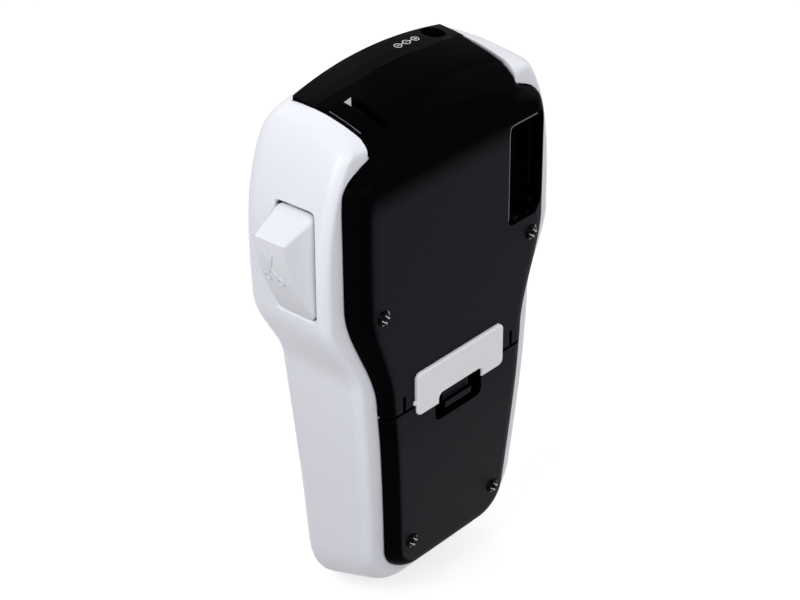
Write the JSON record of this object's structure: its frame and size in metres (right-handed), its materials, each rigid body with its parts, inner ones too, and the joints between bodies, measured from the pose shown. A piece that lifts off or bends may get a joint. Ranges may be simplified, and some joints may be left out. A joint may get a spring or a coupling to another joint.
{
  "type": "handheld label printer",
  "caption": "Handheld label printer with a waisted white body, display and keypad in front, black cassette and battery covers behind, and a thumb lever that cuts the label.",
  "frame": {"origin": "middle of the grip, half way through its depth, where the palm closes round the body", "axes": "+Z along the body to its top end where the label comes out, +Y to the back with the covers, -Y to the front with the keys, +X to the side with the cutter lever"},
  "size_m": [0.1334, 0.0543, 0.2216],
  "materials": {
    "white_housing": "satin moulded plastic",
    "black_frame": "polished black plastic",
    "display_lens": "clear polished plastic with a dark border",
    "display": "grey-green liquid crystal",
    "key_rubber": "fine matt silicone",
    "key_grey": "satin",
    "key_dark": "satin",
    "key_blue": "satin",
    "board": "solder resist",
    "black_cover": "polished edges, fine grain on the flat",
    "tab_grey": "satin",
    "foot_black": "polished",
    "steel": "drawn",
    "contact_metal": "nickel plated",
    "jack_black": "moulded",
    "white_lever": "satin",
    "carriage_grey": "moulded",
    "roller_rubber": "ground rubber",
    "head_ceramic": "thin-film strip",
    "aluminium": "pressed",
    "spindle_white": "moulded"
  },
  "bodies": {
    "housing": {"front_shell": "white_housing", "inner_frame": "black_frame", "display_lens": "display_lens", "display_module": "display", "keypad": "key_rubber", "circuit_board": "board", "hinge_pins": "steel", "battery_plates": "contact_metal", "battery_springs": "contact_metal", "case_screws": "steel", "power_jack": "jack_black", "power_jack_pin": "contact_metal", "cutter_pin": "steel", "cutter_spring": "steel", "print_head": "head_ceramic", "head_bracket": "aluminium", "drive_motor": "steel", "gear_case": "jack_black"},
    "cassette_lid": {"cassette_cover": "black_cover", "lift_tab": "tab_grey", "cassette_cover_feet": "foot_black"},
    "battery_lid": {"battery_cover": "black_cover", "battery_cover_feet": "foot_black"},
    "lever": {"cutter_lever": "white_lever"},
    "blade": {"blade_carriage": "carriage_grey", "cutter_blade": "steel"},
    "platen": {"platen_roller": "roller_rubber", "platen_shaft": "steel"},
    "take_up": {"take_up_spindle": "spindle_white"},
    "arrow_ring": {"nav_ring": "key_grey"},
    "centre_key": {"ok_key": "key_dark"},
    "power_button": {"power_key": "key_dark"},
    "print_button": {"print_key": "key_blue"}
  },
  "joints": [
    {"name": "cassette_cover_hinge", "type": "hinge", "parent": "housing", "child": "cassette_lid", "pos_m": [0, -0.002, 0.1448], "axis": [1, 0, 0], "range_deg": [0, 75]},
    {"name": "battery_cover_slide", "type": "slide", "parent": "housing", "child": "battery_lid", "axis": [0, 0, -1], "range_m": [0, 0.03]},
    {"name": "cutter_lever_pivot", "type": "hinge", "parent": "housing", "child": "lever", "pos_m": [0.054, -0.0024, 0.084], "axis": [0, -1, 0], "range_deg": [0, 5.45], "stiffness_Nm_per_rad": 0.8, "springref_deg": -2.86, "deforming": ["cutter_spring"]},
    {"name": "blade_slide", "type": "slide", "parent": "housing", "child": "blade", "axis": [-1, 0, 0], "range_m": [0, 0.005]},
    {"name": "platen_spin", "type": "hinge", "parent": "housing", "child": "platen", "pos_m": [0.0316, 0, 0.121], "axis": [0, 1, 0], "continuous": true},
    {"name": "take_up_spin", "type": "hinge", "parent": "housing", "child": "take_up", "pos_m": [0, 0, 0.1], "axis": [0, 1, 0], "continuous": true},
    {"name": "arrow_ring_press", "type": "slide", "parent": "housing", "child": "arrow_ring", "axis": [0, 0.9991, 0.0433], "range_m": [0, 0.0008], "stiffness_N_per_m": 800},
    {"name": "centre_key_press", "type": "slide", "parent": "housing", "child": "centre_key", "axis": [0, 0.9991, 0.0433], "range_m": [0, 0.0008], "stiffness_N_per_m": 800},
    {"name": "power_key_press", "type": "slide", "parent": "housing", "child": "power_button", "axis": [0, 0.9991, 0.0433], "range_m": [0, 0.0008], "stiffness_N_per_m": 800},
    {"name": "print_key_press", "type": "slide", "parent": "housing", "child": "print_button", "axis": [0, 0.9991, 0.0433], "range_m": [0, 0.0008], "stiffness_N_per_m": 800}
  ],
  "couplings": [
    {"joint": "blade_slide", "follows": "cutter_lever_pivot", "m_per_rad": 0.0522},
    {"joint": "take_up_spin", "follows": "platen_spin", "ratio": -0.8}
  ]
}
